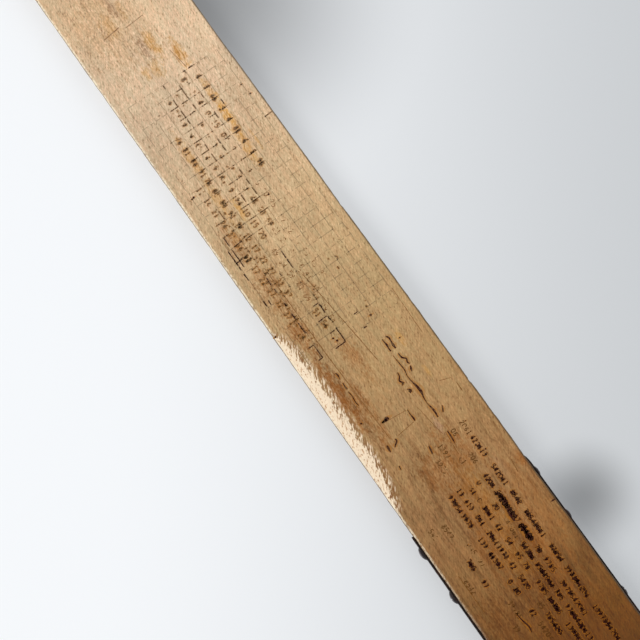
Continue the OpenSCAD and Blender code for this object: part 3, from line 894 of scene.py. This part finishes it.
# rows of small figures near the joint: y of the row, then (from, to, how much is left)
paragraph = [
    (9.6, [(-91, -87, .45), (-86, -79.5, .6), (-76.5, -69.8, .86), (-68, -63.6, .95), (-61.8, -53, 1.0),
           (-50.5, -45, .95), (-43.5, -33, .8), (-31, -20, .7)]),
    (6.3, [(-90.5, -87.8, .4), (-82.5, -79.6, .5), (-75.6, -71.6, .82), (-70, -60.4, 1.0),
           (-59.3, -54, 1.0), (-52.4, -49.6, .9), (-48.3, -43.4, .75), (-41, -30, .7)]),
    (3.6, [(-83, -81, .45), (-75, -73.4, .55), (-67.8, -65.6, .7), (-62, -56.5, .35), (-55, -49.6, .95),
           (-48.4, -40.2, .97), (-39.8, -36.4, .9), (-35, -24, .75)]),
    (0.9, [(-89, -84.5, .45), (-74.6, -72.4, .7), (-71, -69.6, .5), (-68.6, -64.4, .9), (-62.8, -60, .9),
           (-58.2, -56, .88), (-53.6, -51.4, .7), (-50.3, -48.6, .6), (-44.4, -40.3, .95),
           (-39.3, -33.2, .95), (-31, -22, .7)]),
    (-2.1, [(-86, -81.5, .45), (-76.2, -74.2, .85), (-72.7, -69.2, .9), (-67.6, -63.8, .8),
            (-62.4, -53.8, .85), (-52.4, -49.6, .88), (-48.2, -43.6, .85), (-39.6, -37.8, .5),
            (-36.2, -29, .85)]),
    (-5.1, [(-76, -70.9, .9), (-70, -65.8, .88), (-62.2, -59, .7), (-57.6, -52.4, .86), (-48.6, -47.4, .8),
            (-46.2, -44, .85), (-39.2, -37.4, .7), (-35, -28, .5)]),
    (-8.6, [(-62.6, -59.6, .45), (-57.5, -55.5, .4), (-44, -38, .3)]),
    (-11.2, [(-70.6, -65.8, .5), (-59.2, -55.4, .85), (-52.4, -49.6, .6), (-38, -36, .35)]),
    (-14.9, [(-71.5, -68, .4), (-55, -50, .35)]),
]

paragraphType = {
    "pitch": 1.12, "figure": 1.45, "figureWidth": 0.27,
    "digits": "2830596471",                        # the order in which they are dealt out
    "darkFrom": 0.5, "bledFrom": 0.6,              # how much is left where the ink is black, or has run
    "bledWidth": 0.32, "bledInset": 0.3,
}


def printParagraph():
    dark, brown = [Sheet(seed, True) for seed in (31.1, 37.3)]
    pitch, order = paragraphType["pitch"], paragraphType["digits"]
    inset = paragraphType["bledInset"]
    for row, (y, words) in enumerate(paragraph):
        for place, (start, end, keep) in enumerate(words):
            sheet = dark if keep > paragraphType["darkFrom"] else brown
            for i in range(max(1, round((end - start) / pitch))):
                digit = order[(row * 3 + place * 7 + i * 3) % len(order)]
                sheet.figure(digit, start + i * pitch, y, paragraphType["figure"], 0.44 + keep * 0.48,
                             paragraphType["figureWidth"])
            if keep > paragraphType["bledFrom"]:
                level = y + 0.45 + 0.5 * wear(start, row, 3.3, 1.0)
                sheet.line(start + inset, level, end - inset, level - 0.1, paragraphType["bledWidth"],
                           keep * 0.62, 0.8)
    printSheet("figures_bleed", dark.bled(), legA, "bleed")
    printSheet("figures_dark", dark, legA, "dark")
    printSheet("figures_brown", brown, legA, "brown")


def printHandMarks():
    dark, faint = [Sheet(seed, True) for seed in (43.9, 47.7)]
    for points in handMarks["strokes"]:
        dark.stroke(points)
    for x, y, size in handMarks["spots"]:
        dark.spot(x, y, size)
    for x, y, endX, endY, width in handMarks["scratches"]:
        faint.line(x, y, endX, endY, width, 0.9)
    dark.stroke([(-70.5, 6.3, .3), (-68, 6.9, .6), (-65.5, 6.8, .7), (-63, 6.2, .9), (-60.8, 6.2, .6)])
    dark.stroke([(-59.4, 6.5, .5), (-57.5, 6.9, .9), (-55.5, 7.1, .8), (-54, 7.0, .4)])
    printSheet("cracks_bleed", dark.bled(), legA, "bleed")
    printSheet("cracks_dark", dark, legA, "dark")
    printSheet("scratches_faint", faint, legA, "rust")


scale = {"inch": 25.4, "parts": 8, "long": 6.0, "half": 4.4, "short": 2.8, "figure": 3.4}


def printScale(name, leg, firstInch, keep, back):  # inches along both edges, counted from a free end
    sheet = Sheet(leg["seed"] + 60)
    count = 12 * scale["parts"]
    for i in range(1, count):
        x = leg["side"] * (reach - i * scale["inch"] / scale["parts"])
        if leg["side"] > 0:
            x = buttGap + i * scale["inch"] / scale["parts"]
        if abs(x) > tipStart or abs(x) < 1:
            continue
        length = scale["long"] if i % 8 == 0 else scale["half"] if i % 4 == 0 else scale["short"]
        for side in (-1, 1):
            edge = side * (half - 1.5)
            sheet.line(x, edge, x, edge - side * length, 0.26, keep)
        if i % 8 == 0:
            for y in (half - 11.6, -half + 8.2):
                sheet.number(str(firstInch + i // 8), x, y, scale["figure"], keep, 0.42)
    printSheet(name, sheet, leg, "brown", back)


printTable()
printParagraph()
printHandMarks()
printScale("scale_back_a", legA, 0, 0.78, True)
printScale("scale_back_b", legB, 12, 0.82, True)
printScale("scale_face_b", legB, 12, 0.66, False)


# Metal: the CAD's own pieces, with their edges eased and a finish each.

metals = {                                         # colours are 0 to 255, grain is how fine it is in x and y
    "dark_steel": {"base": (34, 24, 20), "worn": (92, 84, 80), "patch": (82, 46, 26), "metallic": 0.55,
                   "roughness": 0.55, "grain": (0.35, 1.6), "patches": 0.45, "shine": 0.3},
    "screw_steel": {"base": (40, 34, 36), "worn": (128, 116, 118), "patch": (60, 38, 28), "metallic": 0.8,
                    "roughness": 0.38, "grain": (1.4, 1.4), "patches": 0.35, "shine": 0.5},
    "bright_steel": {"base": (122, 116, 108), "worn": (188, 182, 172), "patch": (96, 66, 42),
                     "metallic": 0.95, "roughness": 0.36, "grain": (0.8, 3.2), "patches": 0.35,
                     "shine": 0.5},
    "brass": {"base": (138, 104, 54), "worn": (196, 158, 92), "patch": (74, 56, 34), "metallic": 0.92,
              "roughness": 0.42, "grain": (2.6, 0.5), "patches": 0.55, "shine": 0.5},
}
easedEdge = {"dark_steel": 0.09, "screw_steel": 0.05, "bright_steel": 0.05, "brass": 0.12}


def metalFinish(name, rubbed):                     # rubbed: makes the mask of what hands have worn bright
    look = metals[name]
    finish = Finish(name + " old metal")
    split = finish.add("ShaderNodeSeparateXYZ", None,
                       {0: finish.add("ShaderNodeTexCoord", None, None, "Object")})
    x, y, z = [wire * (1 / mm) for wire in (split, split.out("Y"), split.out("Z"))]
    grainX, grainY = look["grain"]
    grain = finish.cloud(finish.point(x * grainX, y * grainY, z * grainY), 1, 3, 0.6)
    patch = finish.cloud(finish.point(x * 0.33, y * 0.33, z * 0.33 + 4), 1, 4, 0.62)
    pit = finish.cloud(finish.point(x * 3.1, y * 3.1, z * 3.1), 1, 2, 0.5)
    worn = finish.rise(rubbed(finish, x, y, z) + (patch - 0.5) * 1.4 + (grain - 0.5) * 0.9, 0.25, 0.95)
    rusty = finish.rise(patch + (pit - 0.5) * 0.5, 0.52, 0.66, look["patches"]) * (1 - worn * 0.7)
    colour = finish.mix(worn, solid(look["base"]), solid(look["worn"]))
    colour = finish.shade(colour, 1 + (grain - 0.5) * 0.5)
    colour = finish.mix(rusty, colour, solid(look["patch"]))
    rough = look["roughness"] + rusty * 0.4 - worn * 0.12 + (grain - 0.5) * 0.3
    return finish.surface({"Base Color": colour, "Roughness": rough,
                           "Metallic": look["metallic"] - rusty * 0.8,
                           "Specular IOR Level": look["shine"],
                           "Normal": finish.bump(grain * 0.5 + pit * 0.6, 0.05, 0.5)})


def strapRub(finish, x, y, z):                     # the strap's long edges
    low, high = [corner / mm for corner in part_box("strap_a_front")]
    width = high.z - low.z
    return finish.rise(finish.away(z - (low.z + high.z) / 2), width * 0.36, width * 0.5, 0.7)


def domeRub(finish, x, y, z):                      # the tops of the screw heads
    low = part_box("screws_a_front")[0] / mm
    return finish.rise(finish.away(y), -low.y - 0.6, -low.y - 0.1, 0.8)


def cornerRub(finish, x, y, z):                    # a tip's outer corners and edges
    return finish.larger(finish.rise(finish.away(x), reach - 1.2, reach - 0.1, 0.8),
                         finish.rise(finish.away(y), half - 0.9, half - 0.1, 0.6))


def evenRub(finish, x, y, z):
    return 0.45


rubs = {"dark_steel": strapRub, "screw_steel": domeRub, "bright_steel": evenRub, "brass": cornerRub}


def dressMetal():
    finishes = {name: metalFinish(name, rubs[name]) for name in metals}
    slots = {part["node"]: part["material_slot"] for part in frame["record"]["subparts"]}
    for node, piece in frame["nodes"].items():
        metal = slots[node]
        if metal not in metals:
            continue
        for place in piece.material_slots:
            place.material = finishes[metal]
        weld = piece.modifiers.new("weld", "WELD")
        weld.merge_threshold = 0.002 * mm
        flat = piece.modifiers.new("flat faces", "DECIMATE")
        flat.decimate_type = "DISSOLVE"
        flat.angle_limit = math.radians(0.4)
        edge = piece.modifiers.new("eased edges", "BEVEL")
        edge.width = easedEdge[metal] * mm
        edge.segments = 2
        edge.limit_method = "ANGLE"
        edge.angle_limit = math.radians(40)
        edge.harden_normals = True


dressMetal()
print("metal:", len(metals), "finishes")
